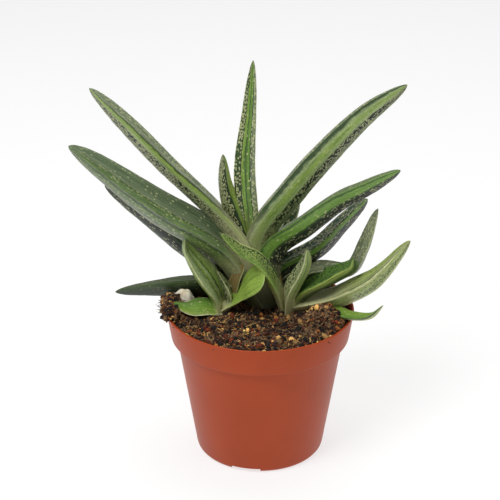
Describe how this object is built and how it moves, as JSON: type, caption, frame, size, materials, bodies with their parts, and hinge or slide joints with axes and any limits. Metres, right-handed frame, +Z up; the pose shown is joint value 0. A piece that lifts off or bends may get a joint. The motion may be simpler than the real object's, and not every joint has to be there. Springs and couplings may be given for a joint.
{
  "type": "potted gasteria",
  "caption": "Clump of banded, speckled tongue-shaped succulent leaves in a round tapered nursery pot filled with potting soil, with a pale stone on it.",
  "frame": {"origin": "centre of the flat pad in the middle of the pot's underside", "axes": "+Z up, and the side that the picture shows looks along -Y"},
  "size_m": [0.1819, 0.1244, 0.2181],
  "materials": {
    "pot_plastic": "satin",
    "soil": "matte",
    "stone": "matte",
    "stem": "matte",
    "leaf_fresh": "satin",
    "leaf_green": "satin",
    "leaf_speckled": "satin",
    "leaf_pale": "satin",
    "leaf_dark": "satin",
    "leaf_grey": "satin",
    "leaf_dry": "matte"
  },
  "bodies": {
    "root": {"pot": "pot_plastic", "potting_soil": "soil", "pale_stone": "stone", "stem_main": "stem", "stem_left": "stem", "stem_right": "stem", "leaf_front_tongue": "leaf_fresh", "leaf_front_arching": "leaf_speckled", "leaf_front_left": "leaf_fresh", "leaf_front_left_inner": "leaf_speckled", "leaf_front_left_low": "leaf_fresh", "leaf_front_dry": "leaf_dry", "leaf_front_right": "leaf_fresh", "leaf_front_right_wide": "leaf_speckled", "leaf_right_pale": "leaf_pale", "leaf_right_over_rim": "leaf_fresh", "leaf_front_withered": "leaf_dry", "leaf_left_long": "leaf_green", "leaf_right_long": "leaf_green", "leaf_left_high": "leaf_speckled", "leaf_right_high": "leaf_pale", "leaf_right_lower": "leaf_dark", "leaf_inner_left": "leaf_speckled", "leaf_upright": "leaf_speckled", "leaf_inner_right": "leaf_speckled", "leaf_right_upturned": "leaf_grey", "leaf_left_shaded": "leaf_dark", "leaf_back_left": "leaf_dark", "leaf_back_a": "leaf_dark", "leaf_back_b": "leaf_green", "leaf_back_c": "leaf_dark"}
  },
  "joints": []
}
